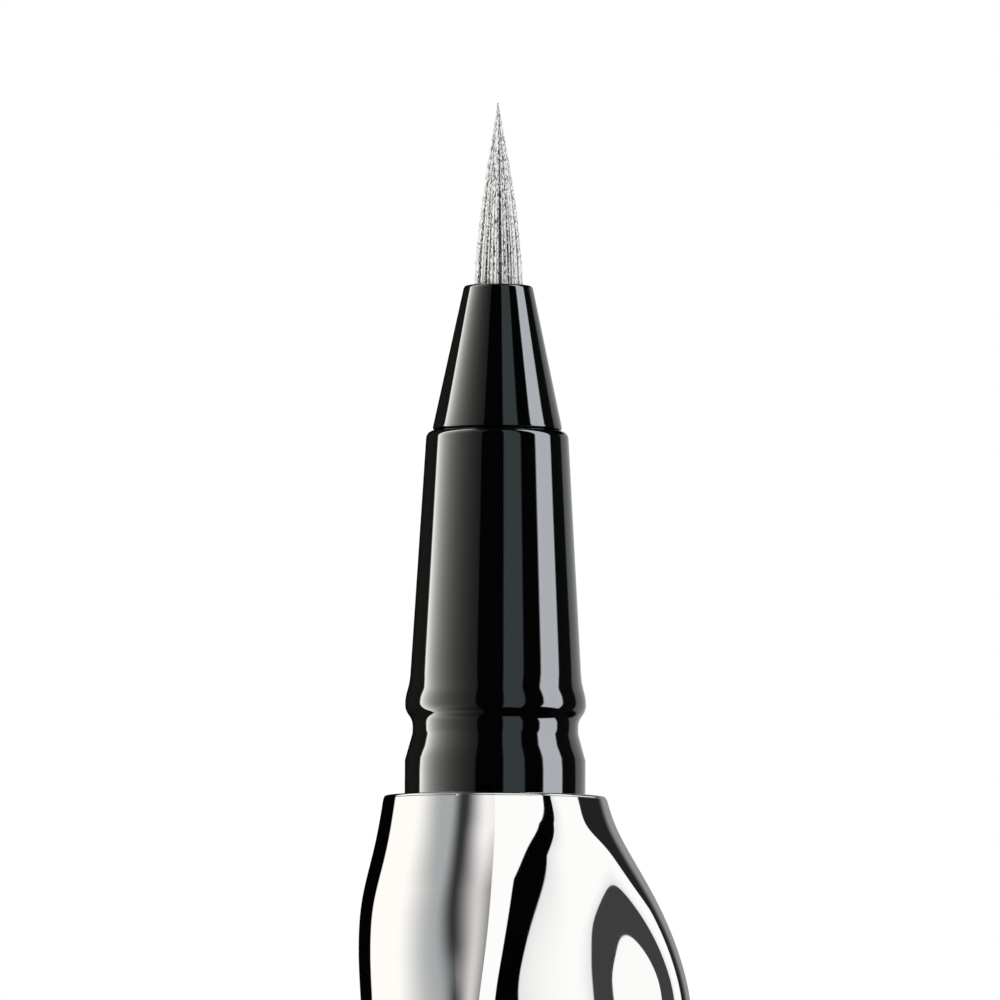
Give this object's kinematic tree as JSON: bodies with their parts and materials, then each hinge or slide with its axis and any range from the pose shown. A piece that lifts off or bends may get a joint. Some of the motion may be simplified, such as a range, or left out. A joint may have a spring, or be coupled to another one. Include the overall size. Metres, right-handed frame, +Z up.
{
  "type": "liquid eyeliner pen",
  "caption": "Liquid eyeliner brush pen: black snap-neck front with a tapered brush, twisted chrome body with ink tank, and a sprung-seal chrome cap posted on the tail as a stand.",
  "frame": {"origin": "centre of the cap's flat closed end, which the pen stands on with its cap posted on the tail", "axes": "+Z up along the pen's axis to the brush tip; -Y is the front that the picture shows; +X is the picture's right, the side of the body's swell"},
  "size_m": [0.0169, 0.0156, 0.1446],
  "materials": {
    "body_chrome": "mirror-polished chrome plate over a metal casting",
    "cap_chrome": "mirror-polished chrome plate",
    "black_gloss_plastic": "black, moulded in a polished tool",
    "black_matte_plastic": "black, as moulded",
    "brush_nylon": "fine tapered nylon filaments, grey",
    "white_plastic": "natural white, as moulded",
    "tank_plastic": "translucent polypropylene",
    "feed_fibre": "bonded fibre rod",
    "seal_plastic": "soft polyethylene",
    "black_rubber": "nitrile rubber",
    "steel": "bright stainless steel"
  },
  "bodies": {
    "cap": {"cap_shell": "cap_chrome", "cap_foot": "cap_chrome", "cap_liner": "black_matte_plastic", "cap_spring": "steel"},
    "pen": {"outer_shell": "body_chrome", "front_barrel": "black_gloss_plastic", "nose_cone": "black_gloss_plastic", "brush_tuft": "brush_nylon", "brush_holder": "white_plastic", "feed_rod": "feed_fibre", "feed_tube": "steel", "ink_collector": "white_plastic", "collector_gasket": "black_rubber", "inner_barrel": "black_matte_plastic", "ink_tank": "tank_plastic", "tank_plug": "white_plastic", "tail_plug": "black_gloss_plastic"},
    "seal_cup": {"cap_seal": "seal_plastic"},
    "lower_ball": {"mixing_ball_lower": "steel"},
    "upper_ball": {"mixing_ball_upper": "steel"}
  },
  "joints": [
    {"name": "pen_lift", "type": "slide", "parent": "cap", "child": "pen", "axis": [0, 0, 1], "range_m": [0, 0.012]},
    {"name": "seal_press", "type": "slide", "parent": "cap", "child": "seal_cup", "axis": [0, 0, -1], "range_m": [0, 0.0012], "stiffness_N_per_m": 200, "springref_m": -0.002, "deforming": ["cap_spring"]},
    {"name": "lower_ball_travel", "type": "slide", "parent": "pen", "child": "lower_ball", "axis": [0, 0, 1], "range_m": [0, 0.0369]},
    {"name": "upper_ball_travel", "type": "slide", "parent": "pen", "child": "upper_ball", "axis": [0, 0, 1], "range_m": [0, 0.0369]}
  ],
  "couplings": [
    {"joint": "upper_ball_travel", "follows": "lower_ball_travel", "ratio": 1}
  ]
}
